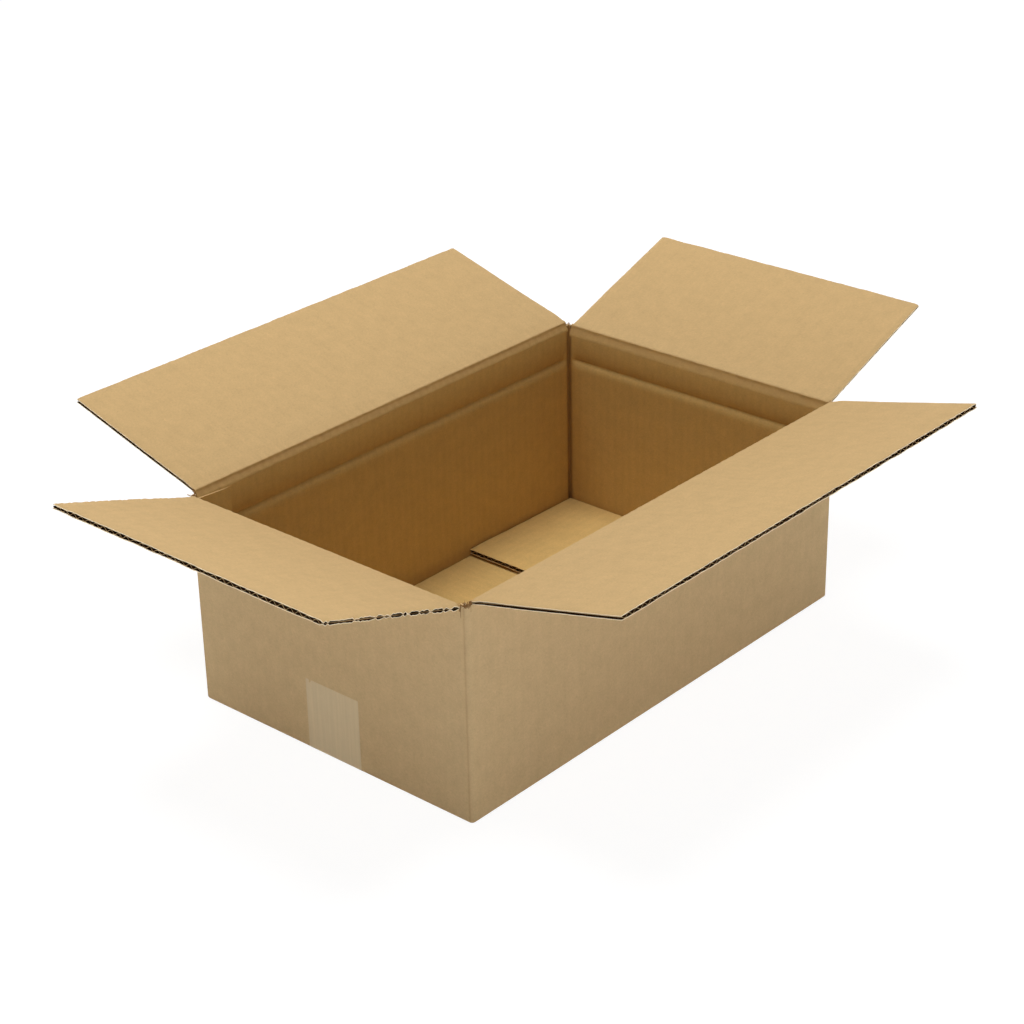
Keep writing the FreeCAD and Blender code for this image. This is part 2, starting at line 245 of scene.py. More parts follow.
class TreeBuilder:
    """Short calls that add and join the nodes of one tree."""

    def __init__(self, tree):
        self.tree = tree

    def add(self, kind, inputs=None, **properties):
        node = self.tree.nodes.new(kind)
        for name, value in properties.items():
            setattr(node, name, value)
        for name, value in (inputs or {}).items():
            self.feed(node, name, value)
        return node

    def feed(self, node, name, value):
        if isinstance(name, int):
            socket = node.inputs[name]
        else:
            socket = next(s for s in node.inputs if s.name == name and s.enabled)
        if isinstance(value, bpy.types.NodeSocket):
            self.tree.links.new(value, socket)
        else:
            socket.default_value = value

    def math(self, operation, *values, clamp=False):
        node = self.add("ShaderNodeMath", operation=operation, use_clamp=clamp)
        for index, value in enumerate(values):
            self.feed(node, index, value)
        return node.outputs[0]

    def product(self, *values):
        result = values[0]
        for value in values[1:]:
            result = self.math("MULTIPLY", result, value)
        return result

    def vary(self, value, span):
        """A factor of 1 where the value is one half, that varies by the span."""
        return self.math("MULTIPLY_ADD", value, span, 1 - 0.5 * span)

    def scale(self, vector, factors):
        node = self.add("ShaderNodeVectorMath", {0: vector, 1: factors}, operation="MULTIPLY")
        return node.outputs[0]

    def combine(self, x=0.0, y=0.0, z=0.0):
        return self.add("ShaderNodeCombineXYZ", {"X": x, "Y": y, "Z": z}).outputs[0]

    def split(self, vector):
        return self.add("ShaderNodeSeparateXYZ", {"Vector": vector}).outputs

    def ramp(self, value, low, high, to_low=0.0, to_high=1.0):
        node = self.add(
            "ShaderNodeMapRange",
            {"Value": value, "From Min": low, "From Max": high,
             "To Min": to_low, "To Max": to_high},
            interpolation_type="SMOOTHSTEP")
        return node.outputs["Result"]

    def noise(self, vector, scale, detail=2.0, roughness=0.5):
        node = self.add(
            "ShaderNodeTexNoise",
            {"Vector": vector, "Scale": scale, "Detail": detail, "Roughness": roughness})
        return node.outputs[0]

    def group(self, group, inputs):
        node = self.add("ShaderNodeGroup", node_tree=group)
        for name, value in inputs.items():
            self.feed(node, name, value)
        return node.outputs

    def mix_surface(self, output_kind, factor, first, second):
        """Two shaders mixed into the surface of a material or of the world."""
        mix = self.add(
            "ShaderNodeMixShader", {0: factor, 1: first.outputs[0], 2: second.outputs[0]})
        self.add(output_kind, {"Surface": mix.outputs[0]})


def open_group(kind, name, inputs, outputs):
    """A new node group with its interface."""
    tree = bpy.data.node_groups.new(name, kind)
    for label, socket_type, value in inputs:
        socket = tree.interface.new_socket(label, in_out="INPUT", socket_type=socket_type)
        if value is not None:
            socket.default_value = value
    for label, socket_type in outputs:
        tree.interface.new_socket(label, in_out="OUTPUT", socket_type=socket_type)
    builder = TreeBuilder(tree)
    return builder, builder.add("NodeGroupInput").outputs, builder.add("NodeGroupOutput")


def clear_tree(owner):
    """The emptied node tree of a material or of the world."""
    owner.use_nodes = True
    owner.node_tree.nodes.clear()
    return TreeBuilder(owner.node_tree)


# Shader groups

def paper_fibres_group():
    """Short fibres that lie mostly across the flutes, and the cloudy look of kraft paper."""
    name = "paper fibres"
    if name in bpy.data.node_groups:
        return bpy.data.node_groups[name]
    tree, source, sink = open_group(
        "ShaderNodeTree", name,
        [("Vector", VECTOR, None), ("Length", FLOAT, 0.004), ("Width", FLOAT, 0.0006)],
        [("Fibres", FLOAT), ("Clouds", FLOAT), ("Specks", FLOAT)])
    place = source["Vector"]
    across = tree.math("DIVIDE", 1.0, source["Length"])
    along = tree.math("DIVIDE", 1.0, source["Width"])
    stretch = tree.combine(across, along, along)
    fine = tree.noise(tree.scale(place, stretch), 1.0, 3.0, 0.6)
    turned = tree.add(
        "ShaderNodeVectorRotate", {"Vector": place, "Angle": 1.1}, rotation_type="Z_AXIS")
    second = tree.noise(tree.scale(turned.outputs[0], stretch), 0.8, 2.0, 0.5)
    both = tree.math("MULTIPLY_ADD", second, 0.4, tree.math("MULTIPLY", fine, 0.6))
    tree.feed(sink, "Fibres", both)
    tree.feed(sink, "Clouds", tree.noise(place, 85.0, 5.0, 0.68))
    tree.feed(sink, "Specks", tree.ramp(tree.noise(place, 480.0, 1.0, 0.4), 0.70, 0.75))
    return tree.tree


def washboard_group():
    """The flutes that show faintly through the liner, as a height from 0 to 1."""
    name = "washboard"
    if name in bpy.data.node_groups:
        return bpy.data.node_groups[name]
    tree, source, sink = open_group(
        "ShaderNodeTree", name, [("Vector", VECTOR, None), ("Pitch", FLOAT, 0.0074)],
        [("Height", FLOAT)])
    place = source["Vector"]
    drift = tree.math(
        "MULTIPLY_ADD", tree.noise(place, 30.0, 1.0), 0.0016, tree.split(place)["X"])
    turns = tree.math("DIVIDE", drift, source["Pitch"])
    wave = tree.math("COSINE", tree.math("MULTIPLY", turns, math.tau))
    tree.feed(sink, "Height", tree.math("MULTIPLY_ADD", wave, 0.5, 0.5))
    return tree.tree


# Materials

MOTTLE = {"liner": 0.75, "outside": 0.85, "inside": 0.9}
RIB_SHADE = {"liner": 0.012, "outside": 0.014, "inside": 0.030}
FIBRE_SPAN = 0.50
CLOUD_SPAN = 0.34
SPECK_SPAN = -0.07


def new_material(name, plain):
    """A material with one shader, and the plain values of its sockets."""
    material = bpy.data.materials.new(name)
    tree = clear_tree(material)
    shader = tree.add("ShaderNodeBsdfPrincipled", plain)
    tree.add("ShaderNodeOutputMaterial", {"Surface": shader.outputs["BSDF"]})
    return material, tree, shader


def place_fibres(tree, place, length, width):
    return tree.group(
        paper_fibres_group(), {"Vector": place, "Length": length, "Width": width})


def place_ribs(tree, place):
    return tree.group(washboard_group(), {"Vector": place, "Pitch": settings("board").pitch})


def shade(tree, colour, factor):
    """The colour times a factor near 1 that varies over the surface."""
    return tree.scale(tuple(colour), tree.combine(factor, factor, factor))


def add_bump(tree, shader, strength, distance, height):
    bump = tree.add(
        "ShaderNodeBump", {"Strength": strength, "Distance": distance, "Height": height})
    tree.feed(shader, "Normal", bump.outputs[0])


def kraft_material(face="liner"):
    """Unbleached liner: cloudy, fibrous, ribbed by the flutes, darkened by painted shade in creases
    and corners.
    """
    name = f"kraft {face}"
    if name in bpy.data.materials:
        return bpy.data.materials[name]
    colours = settings("colours")
    material, tree, shader = new_material(name, {"Roughness": 0.9, "Specular IOR Level": 0.10})
    place = tree.add("ShaderNodeUVMap", uv_map=UV_NAME).outputs[0]
    fibres = place_fibres(tree, place, 0.0020, 0.0011)
    ribs = place_ribs(tree, place)
    wear = tree.add("ShaderNodeAttribute", attribute_name=PAINTED_SHADE).outputs["Fac"]
    light = tree.product(
        tree.vary(fibres["Fibres"], FIBRE_SPAN * MOTTLE[face]),
        tree.vary(fibres["Clouds"], CLOUD_SPAN * MOTTLE[face]),
        tree.vary(ribs["Height"], RIB_SHADE[face]),
        tree.math("MULTIPLY_ADD", fibres["Specks"], SPECK_SPAN, 1.0))
    # Painted shade: the colour is mixed towards the torn colour where the painted shade attribute
    # is high.
    painted_dark = tree.add("ShaderNodeMix", data_type="RGBA")
    tree.feed(painted_dark, "Factor", tree.math("MULTIPLY", wear, 0.75, clamp=True))
    tree.feed(painted_dark, "A", shade(tree, getattr(colours, face), light))
    tree.feed(painted_dark, "B", (*colours.torn, 1.0))
    tree.feed(shader, "Base Color", next(s for s in painted_dark.outputs if s.enabled))
    height = tree.math(
        "MULTIPLY_ADD", ribs["Height"], 0.12, tree.math("MULTIPLY", fibres["Fibres"], 0.5))
    add_bump(tree, shader, 0.28, 0.00018, height)
    return material


def paper_material(name, colour, rough, strength):
    """Plain paper seen in a cut or inside the board."""
    if name in bpy.data.materials:
        return bpy.data.materials[name]
    material, tree, shader = new_material(
        name, {"Roughness": 0.95, "Specular IOR Level": 0.0, "IOR": 1.0})
    fibres = place_fibres(tree, tree.add("ShaderNodeTexCoord").outputs["Object"], 0.0012, 0.0006)
    light = tree.product(
        tree.vary(fibres["Fibres"], rough), tree.vary(fibres["Clouds"], 0.16))
    tree.feed(shader, "Base Color", shade(tree, colour, light))
    add_bump(tree, shader, strength, 0.0003, fibres["Fibres"])
    return material


def cut_material():
    return paper_material("cut board edge", settings("colours").cut, 0.45, 0.5)


def shaded_medium_material():
    return paper_material("fluted paper", settings("colours").medium, 0.3, 0.35)


def flute_edge_material():
    return paper_material("flute edge", settings("colours").flute_edge, 0.4, 0.4)


def torn_material():
    return paper_material("torn fibres", settings("colours").torn, 0.5, 0.4)


def tape_material():
    """Clear film over kraft: a little glossier, with fine streaks drawn along the strip."""
    material, tree, shader = new_material("packing tape", {"Specular IOR Level": 0.45})
    place = tree.add("ShaderNodeUVMap", uv_map=UV_NAME).outputs[0]
    fibres = place_fibres(tree, place, 0.0032, 0.0005)
    ribs = place_ribs(tree, place)
    streaks = tree.noise(tree.scale(place, (420.0, 9.0, 1.0)), 1.0, 2.0, 0.6)
    # The rib term is painted shade of the flutes under the film.
    light = tree.product(
        tree.vary(fibres["Clouds"], 0.12), tree.math("MULTIPLY_ADD", streaks, 0.26, 0.885),
        tree.vary(ribs["Height"], 0.012))
    tree.feed(shader, "Base Color", shade(tree, settings("tape").colour, light))
    tree.feed(shader, "Roughness", tree.math("MULTIPLY_ADD", streaks, 0.22, 0.24))
    add_bump(tree, shader, 0.12, 0.0002, streaks)
    return material


# Meshes

def link_object(name, data, materials=()):
    for material in materials:
        data.materials.append(material)
    piece = bpy.data.objects.new(name, data)
    bpy.context.scene.collection.objects.link(piece)
    return piece


def shade_by_angle(mesh, degrees):
    mesh.shade_smooth()
    mesh.set_sharp_from_angle(angle=math.radians(degrees))


def smooth_step(low, high, value):
    t = np.clip((value - low) / (high - low), 0, 1)
    return t * t * (3 - 2 * t)


def wall_matrix(side):
    """Local x runs along the wall, y inwards from its outer face and z up from the floor."""
    wall = WALLS[side]
    turn = Matrix.Rotation(math.radians(wall["yaw"]), 4, "Z")
    return turn @ Matrix.Translation((0, -wall["reach"], 0))


def flap_matrix(side):
    """Local x runs along the fold, y from the outer face to the inner one, z up the flap."""
    wall = WALLS[side]
    lean = Matrix.Rotation(math.radians(wall["lean"]), 4, "X")
    return wall_matrix(side) @ Matrix.Translation((0, 0, wall["fold"])) @ lean


def mesh_from_rings(name, rings, uv, closed=False):
    """Mesh through a row of rings of points, which closes on itself or ends in two caps."""
    rings, uv = np.array(rings), np.array(uv)
    columns, rows = rings.shape[:2]
    faces = []
    for i in range(columns if closed else columns - 1):
        here, there = i * rows, (i + 1) % columns * rows
        for j in range(rows):
            k = (j + 1) % rows
            faces.append((here + j, there + j, there + k, here + k))
    if not closed:
        faces.append(tuple(range(rows)))
        faces.append(tuple((columns - 1) * rows + j for j in reversed(range(rows))))
    mesh = bpy.data.meshes.new(name)
    mesh.from_pydata(rings.reshape(-1, 3).tolist(), [], faces)
    layer = mesh.uv_layers.new(name=UV_NAME)
    corner = np.empty(len(mesh.loops), np.int32)
    mesh.loops.foreach_get("vertex_index", corner)
    layer.data.foreach_set("uv", uv.reshape(-1, 2)[corner].astype(np.float32).ravel())
    face_outwards(mesh)
    return mesh


def face_outwards(mesh):
    """Turns all faces if the closed mesh encloses a negative volume."""
    mesh.calc_loop_triangles()
    place = np.array([v.co for v in mesh.vertices])
    triangles = np.array([t.vertices for t in mesh.loop_triangles])
    a, b, c = (place[triangles[:, i]] for i in range(3))
    if np.einsum("ij,ij->i", a, np.cross(b, c)).sum() < 0:
        mesh.flip_normals()


def set_painted_shade(mesh, values):
    attribute = mesh.attributes.new(PAINTED_SHADE, "FLOAT", "POINT")
    attribute.data.foreach_set("value", np.asarray(values, np.float32).ravel())


def ride_board(piece, body):
    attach(piece, body)


# Corrugated board made by Geometry Nodes

KIND = "face kind"
PAPER_KIND, CUT_KIND, FLUTED_KIND, FLUTE_EDGE_KIND = 0.0, 1.0, 2.0, 3.0
BOARD_INPUTS = (
    (FLOAT, (
        "Width", "Start", "End", "Thickness", "Liner", "Medium", "Pitch", "Washboard",
        "Root Thickness", "Root Reach", "Edge Crush", "Side Crush", "Torn Side", "Closed Side",
        "Ragged", "Warp", "Blank U", "Blank V", "Seed")),
    ("NodeSocketInt", ("Columns", "Rows", "Wave Columns")),
    ("NodeSocketMaterial", ("Paper", "Cut", "Fluted", "Flute Edge")),
)
KNIFE_REACH = 0.007
SIDE_KNIFE_REACH = 0.0035
CUT_SKIN = 0.0004
LAYER_SPREAD = 6.0


def add_layers(tree, g, wave):
    """The two rippled liners and the waved medium between them, each face with its kind."""
    length = tree.math("SUBTRACT", g["End"], g["Start"])
    middle = tree.math("MULTIPLY", g["Thickness"], 0.5)
    centre_z = tree.math("MULTIPLY_ADD", length, 0.5, g["Start"])
    half_liner = tree.math("MULTIPLY", g["Liner"], 0.5)

    def layer(thickness, columns, rows, height, kind, cut_kind, hidden_side=None):
        slab = tree.add("GeometryNodeMeshCube", {
            "Size": tree.combine(g["Width"], thickness, length),
            "Vertices X": columns, "Vertices Y": 2, "Vertices Z": rows})
        moved = tree.add("GeometryNodeTransform", {
            "Geometry": slab.outputs["Mesh"],
            "Translation": tree.combine(0.0, height, centre_z)})
        facing = tree.split(tree.add("GeometryNodeInputNormal").outputs[0])["Y"]
        is_cut = tree.math("LESS_THAN", tree.math("ABSOLUTE", facing), 0.5)
        face_kind = tree.math("MULTIPLY_ADD", is_cut, cut_kind - kind, kind)
        if hidden_side is not None:
            is_hidden = tree.math(
                "GREATER_THAN", tree.math("MULTIPLY", facing, hidden_side), 0.5)
            face_kind = tree.math("MULTIPLY_ADD", is_hidden, FLUTED_KIND, face_kind)
        kept = tree.add(
            "GeometryNodeStoreNamedAttribute",
            {"Geometry": moved.outputs[0], "Name": KIND, "Value": face_kind},
            data_type="FLOAT", domain="FACE")
        return kept.outputs[0]

    def wavy(geometry, height):
        offset = tree.combine(y=tree.math("MULTIPLY", wave, height))
        moved = tree.add("GeometryNodeSetPosition", {"Geometry": geometry, "Offset": offset})
        return moved.outputs[0]

    inner_height = tree.math("SUBTRACT", g["Thickness"], half_liner)
    liners = tree.add("GeometryNodeJoinGeometry")
    for height, hidden_side in ((half_liner, 1.0), (inner_height, -1.0)):
        tree.feed(liners, 0, layer(
            g["Liner"], g["Columns"], g["Rows"], height, PAPER_KIND, CUT_KIND, hidden_side))
    inside = tree.math(
        "SUBTRACT", tree.math("MULTIPLY_ADD", g["Liner"], -2.0, g["Thickness"]), g["Medium"])
    fluted = layer(g["Medium"], g["Wave Columns"], 6, middle, FLUTED_KIND, FLUTE_EDGE_KIND)
    joined = tree.add("GeometryNodeJoinGeometry")
    tree.feed(joined, 0, wavy(liners.outputs[0], g["Washboard"]))
    tree.feed(joined, 0, wavy(fluted, tree.math("MULTIPLY", inside, 0.5)))
    return joined.outputs[0], middle


def shaped_point(tree, g, x, y, z, middle):
    """Where a point goes: squeezed at the root of the board, crushed and torn at its cuts."""
    from_root = tree.math("SUBTRACT", z, g["Start"])
    to_end = tree.math("SUBTRACT", g["End"], z)
    from_side = tree.math(
        "SUBTRACT", tree.math("MULTIPLY", g["Width"], 0.5), tree.math("ABSOLUTE", x))
    outwards = tree.math("SIGN", x)

    # the knife and the tear close the board where the noise lets them
    seeded = tree.combine(x, 0.0, tree.math("ADD", z, g["Seed"]))
    uneven = tree.ramp(tree.noise(seeded, 75.0, 3.0), 0.35, 0.7, 0.15, 1.0)
    crush_end = tree.product(
        tree.ramp(to_end, 0.0, KNIFE_REACH, 1.0, 0.0), uneven, g["Edge Crush"])
    along_side = tree.combine(outwards, z, g["Seed"])
    side_uneven = tree.math(
        "MAXIMUM", tree.ramp(tree.noise(along_side, 230.0, 3.0, 0.6), 0.47, 0.57, 0.1, 1.0),
        g["Closed Side"])
    torn = tree.math(
        "MULTIPLY_ADD", tree.math("GREATER_THAN", x, 0.0), g["Torn Side"], g["Side Crush"])
    crush_side = tree.product(
        tree.ramp(from_side, 0.0, SIDE_KNIFE_REACH, 1.0, 0.0), side_uneven, torn)
    crush = tree.math("MAXIMUM", crush_end, crush_side)
    off_middle = tree.math("SUBTRACT", y, middle)
    core = tree.math("MULTIPLY_ADD", g["Liner"], -1.0, middle)
    within = tree.math("MINIMUM", tree.math("ABSOLUTE", off_middle), core)
    crushed = tree.math(
        "SUBTRACT", y, tree.product(within, crush, tree.math("SIGN", off_middle)))

    # the crease squeezes the root, and the whole sheet warps a little
    root_share = tree.ramp(
        from_root, 0.0, g["Root Reach"],
        tree.math("DIVIDE", g["Root Thickness"], g["Thickness"]), 1.0)
    squeezed = tree.math("MULTIPLY", crushed, root_share)
    warp = tree.math("MULTIPLY", tree.noise(seeded, 7.0, 1.0), tree.ramp(from_root, 0.0, 0.05))
    new_y = tree.math("MULTIPLY_ADD", warp, g["Warp"], squeezed)

    # the outermost skin of each cut is ragged
    spread = tree.math("MULTIPLY", y, LAYER_SPREAD)
    tear = tree.math(
        "SUBTRACT", tree.noise(tree.combine(x, spread, g["Seed"]), 420.0, 2.0, 0.6), 0.5)
    at_end = tree.ramp(to_end, 0.0, CUT_SKIN, 1.0, 0.0)
    new_z = tree.math("MULTIPLY_ADD", tree.math("MULTIPLY", tear, at_end), g["Ragged"], z)
    side_tear = tree.math(
        "SUBTRACT", tree.noise(tree.combine(spread, z, g["Seed"]), 300.0, 2.0, 0.6), 0.5)
    at_side = tree.ramp(from_side, 0.0, CUT_SKIN, 1.0, 0.0)
    push = tree.product(side_tear, at_side, tree.math("MULTIPLY", g["Ragged"], 0.4))
    new_x = tree.math("MULTIPLY_ADD", outwards, push, x)
    return tree.combine(new_x, new_y, new_z)


def corrugated_board_tree():
    """Two liners with a fluted medium between them, cut at all four sides."""
    name = "corrugated board"
    if name in bpy.data.node_groups:
        return bpy.data.node_groups[name]
    tree, g, sink = open_group(
        "GeometryNodeTree", name,
        [(label, kind, None) for kind, labels in BOARD_INPUTS for label in labels],
        [("Geometry", "NodeSocketGeometry")])
    x, y, z = tree.split(tree.add("GeometryNodeInputPosition").outputs[0])
    turns = tree.math("DIVIDE", tree.math("ADD", x, g["Blank U"]), g["Pitch"])
    wave = tree.math("COSINE", tree.math("MULTIPLY", turns, math.tau))
    board, middle = add_layers(tree, g, wave)
    flat = tree.combine(tree.math("ADD", x, g["Blank U"]), tree.math("ADD", z, g["Blank V"]))
    unwrapped = tree.add(
        "GeometryNodeStoreNamedAttribute", {"Geometry": board, "Name": UV_NAME, "Value": flat},
        data_type="FLOAT2", domain="CORNER")
    shaped = tree.add("GeometryNodeSetPosition", {
        "Geometry": unwrapped.outputs[0],
        "Position": shaped_point(tree, g, x, y, z, middle)})
    dressed = tree.add("GeometryNodeRealizeInstances", {"Geometry": shaped.outputs[0]}).outputs[0]
    stored = tree.add("GeometryNodeInputNamedAttribute", {"Name": KIND}, data_type="FLOAT")
    for kind, label in ((PAPER_KIND, "Paper"), (CUT_KIND, "Cut"), (FLUTED_KIND, "Fluted"),
                        (FLUTE_EDGE_KIND, "Flute Edge")):
        same = tree.add(
            "FunctionNodeCompare", {"A": stored.outputs[0], "B": kind, "Epsilon": 0.1},
            data_type="FLOAT", operation="EQUAL")
        dressed = tree.add("GeometryNodeSetMaterial", {
            "Geometry": dressed, "Selection": same.outputs[0], "Material": g[label]}).outputs[0]
    tree.feed(sink, 0, dressed)
    return tree.tree


def make_board(name, matrix, values):
    """One flat piece of corrugated board, brought to its place."""
    board = settings("board")
    pitches = values["Width"] / board.pitch
    inputs = {
        "Thickness": board.thickness, "Liner": board.liner, "Medium": board.medium,
        "Pitch": board.pitch, "Washboard": board.washboard,
        "Root Thickness": board.thickness, "Root Reach": 0.010, "Side Crush": 0.2,
        "Torn Side": 0.0, "Closed Side": 0.0, "Ragged": 0.0003, "Warp": 0.0,
        "Columns": round(pitches * 6) + 1, "Wave Columns": round(pitches * 12) + 1,
        "Paper": kraft_material(), "Cut": cut_material(), "Fluted": shaded_medium_material(),
        "Flute Edge": flute_edge_material(), **values,
    }
    tree = corrugated_board_tree()
    holder = link_object(f"{name}_maker", bpy.data.meshes.new(f"{name}_maker"))
    modifier = holder.modifiers.new("board", "NODES")
    modifier.node_group = tree
    for socket in tree.interface.items_tree:
        if socket.in_out == "INPUT":
            modifier[socket.identifier] = inputs[socket.name]
    graph = bpy.context.evaluated_depsgraph_get()
    mesh = bpy.data.meshes.new_from_object(
        holder.evaluated_get(graph), preserve_all_data_layers=True, depsgraph=graph)
    mesh.name = name
    bpy.data.objects.remove(holder)
    mesh.attributes.remove(mesh.attributes[KIND])
    mesh.transform(matrix)
    shade_by_angle(mesh, 50)
    return link_object(name, mesh)


# Walls

def corner_columns():
    """Points round one corner in millimetres from the two outer faces: outer, inner, is post."""
    inner_depth = [
        (10.5, 4.00), (9.2, 3.98), (8.0, 4.10), (7.0, 4.16), (6.2, 3.95), (5.4, 3.55), (4.9, 3.3)]
    columns = [((along, 0.0), (along, depth), False) for along, depth in inner_depth]
    columns.append(((4.52, 0.0), (4.52, 3.18), False))
    columns.append(((4.50, 0.0), (4.50, 3.17), True))
    columns.append(((3.75, 0.0), (3.60, 3.05), True))
    mirrored = [(o[::-1], i[::-1], is_post) for o, i, is_post in reversed(columns)]
    radius = CORNER_RADIUS / MM
    steps = 8
    for step in range(steps + 1):
        angle = math.pi / 2 * step / steps
        outer = (radius - radius * math.sin(angle), radius - radius * math.cos(angle))
        spread = 0.28 * math.cos(math.pi * step / steps)
        columns.append((outer, (2.95 + spread, 2.95 - spread), True))
    return columns + mirrored


def wall_columns():
    """Every column of the ring of walls.

    Each has its outer and inner point, inward direction, place along the blank, top, distance
    from the corner, and distance from the line pressed beside the corner.
    """
    spacing = settings("board").pitch / 5
    corner = corner_columns()
    reach = corner[0][0][0] * MM
    rows = []
    for index, (side, wall) in enumerate(WALLS.items()):
        half = wall["half"]
        matrix = np.array(wall_matrix(side))[:2, :]

        def put(x, y):
            return matrix @ np.array([x, y, 0, 1])

        inward = matrix[:, 1]
        straight = half - reach
        count = round(2 * straight / spacing)
        seam = wall["fold"] - SEAM_DROP
        for x in np.linspace(-straight, straight, count + 1)[:-1]:
            rows.append((put(x, 0), put(x, WALL_THICKNESS), inward, wall["start"] + x, seam,
                         half - abs(x), 1.0))
        next_wall = WALLS[list(WALLS)[(index + 1) % 4]]
        next_seam = next_wall["fold"] - SEAM_DROP
        for number, (outer, inner, is_post) in enumerate(corner[:-1]):
            first_half = number < len(corner) / 2
            a, b = outer[0] * MM, outer[1] * MM
            c, d = inner[0] * MM, inner[1] * MM
            height = POST_TOP if is_post else (seam if first_half else next_seam)
            if a < CORNER_RADIUS and b < CORNER_RADIUS:
                direction = put(half - CORNER_RADIUS, CORNER_RADIUS) - put(half - a, b)
                direction = direction / np.linalg.norm(direction)
            elif first_half:
                direction = inward
            else:
                direction = -matrix[:, 0]
            travel = half - a + b if number else half - a
            from_line = a if side in ("left", "right") else b
            rows.append((put(half - a, b), put(half - c, d), direction, wall["start"] + travel,
                         height, max(a, b), from_line))
    return rows


def score_valley(height, board):
    """Depth of the second score: a long slope above the line and a short lip below it."""
    above = height - board.score_height
    upper = board.score_depth * np.exp(-np.maximum(above, 0) / (4.6 * MM))
    below = np.maximum(-above, 0)
    lip = board.score_depth * np.exp(-((below + 1.2 * MM) / (4.2 * MM)) ** 1.7)
    swell = 0.14 * board.score_depth * np.exp(-((below - 7 * MM) / (5.0 * MM)) ** 2)
    lower = lip * 1.5 - swell * smooth_step(0.2 * MM, 4 * MM, below)
    return np.where(
        above >= 0, upper * smooth_step(17 * MM, 9 * MM, above),
        lower * smooth_step(16 * MM, 8 * MM, below))


def make_walls():
    """Four walls as one closed sheet: up the outside, over the rim and down the inside."""
    board = settings("board")
    outer, inner, inward, blank_u, top, from_corner, from_line = (
        np.array(values) for values in zip(*wall_columns()))
    is_post = top > LONG_FOLD - SEAM_DROP + MM
    span = top - BREAK_HEIGHT
    zero = np.zeros(len(outer))
    points, uv, wear = [], [], []

    def ripple(height):
        """The flutes that press through, flattened by the score and quiet near the rim."""
        at_score = np.exp(-((height - board.score_height) / (4 * MM)) ** 2)
        fade = smooth_step(148 * MM, 141 * MM, height) * (1 - 0.8 * at_score)
        wave = np.cos(blank_u / board.pitch * math.tau) * board.washboard
        return wave * fade * smooth_step(4 * MM, 8 * MM, from_corner)

    def sag(height):
        """Slow unevenness of a wall, none at the fold, the floor and the corners."""
        quiet = smooth_step(150 * MM, 120 * MM, height) * smooth_step(0.0, 30 * MM, height)
        slow = np.array([
            noise.noise(Vector((u * 9, h * 11, 3.7)))
            for u, h in zip(blank_u, np.broadcast_to(height, blank_u.shape))])
        return slow * 0.0005 * quiet * smooth_step(8 * MM, 50 * MM, from_corner)

    def add_row(base, shift, height, painted_dark):
        offset = (shift + ripple(height) + sag(height))[:, None] * inward
        points.append(np.column_stack([base + offset, height]))
        uv.append(np.column_stack([blank_u, height]))
        wear.append(painted_dark)

    # Painted shade: a dark line in the crease pressed beside each outer corner, and darker inner
    # corners up to the rim.
    corner_crease_shade = 0.48 * np.exp(-((from_line - 2.3 * MM) / (0.6 * MM)) ** 2)
    inner_corner_shade = 0.85 * smooth_step(8.0 * MM, 5.2 * MM, from_corner)
    near_corner = smooth_step(6 * MM, 11 * MM, from_corner)
    outer_rows = [
        (FLOOR_ROLL * (1 - math.sin(a)), UNDERSIDE + FLOOR_ROLL * (1 - math.cos(a)))
        for a in np.radians([0, 22.5, 45, 67.5, 90])]
    outer_rows += [(0.0, z * MM) for z in OUTER_HEIGHTS]
    # The bottom roll, where the wall turns under, gets a little more painted shade.
    for inset, height in outer_rows:
        add_row(outer, zero + inset, zero + height, corner_crease_shade + (0.12 if inset else 0))
    for inset, share in RIM_ROWS:
        shift = np.where(is_post, inset * MM, 0)
        add_row(outer, shift, BREAK_HEIGHT + span * share, corner_crease_shade)
    for inset, share in reversed(RIM_ROWS):
        shift = np.where(is_post, -0.6 * inset * MM, 0)
        add_row(inner, shift, BREAK_HEIGHT + span * share, inner_corner_shade)
    for height in [z * MM for z in INNER_HEIGHTS] + [UNDERSIDE]:
        valley = score_valley(height, board) * near_corner
        above = height - board.score_height
        # Painted shade: darker just above the second score, fading upwards, and darker near the
        # floor.
        score_shade = 0.5 * math.exp(-above / (6 * MM)) if above >= 0 else 0
        floor_shade = 0.4 * float(smooth_step(17 * MM, 9 * MM, np.array(height)))
        painted_dark = np.maximum(score_shade * near_corner, inner_corner_shade) + floor_shade
        add_row(inner, zero - valley, zero + height, painted_dark)

    rings = np.array(points).transpose(1, 0, 2)
    mesh = mesh_from_rings("walls", rings, np.array(uv).transpose(1, 0, 2), closed=True)
    set_painted_shade(mesh, np.array(wear).T)
    shade_by_angle(mesh, 38)
    walls = link_object("walls", mesh, [kraft_material("outside"), kraft_material("inside")])
    outer_count = len(outer_rows) + len(RIM_ROWS)
    # Outer rows take the outside colour, inner rows the shade-tinted inside colour.
    for index, face in enumerate(mesh.polygons):
        face.material_index = 1 if index % rings.shape[1] >= outer_count else 0
    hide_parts("box_body")
    ride_board(walls, BODY)


def make_bottom_flap(side, along, over, origin, values):
    matrix = Matrix((over.cross(along), over, along)).transposed().to_4x4()
    matrix.translation = origin
    # The bottom flaps take the shade-tinted inside colour.
    piece = make_board(f"{side}_bottom_flap", matrix, {
        "Start": 0.4 * MM, "Blank U": WALLS[side]["start"], "Blank V": -BOTTOM_REACH,
        "Paper": kraft_material("inside"), **values})
    ride_board(piece, BODY)


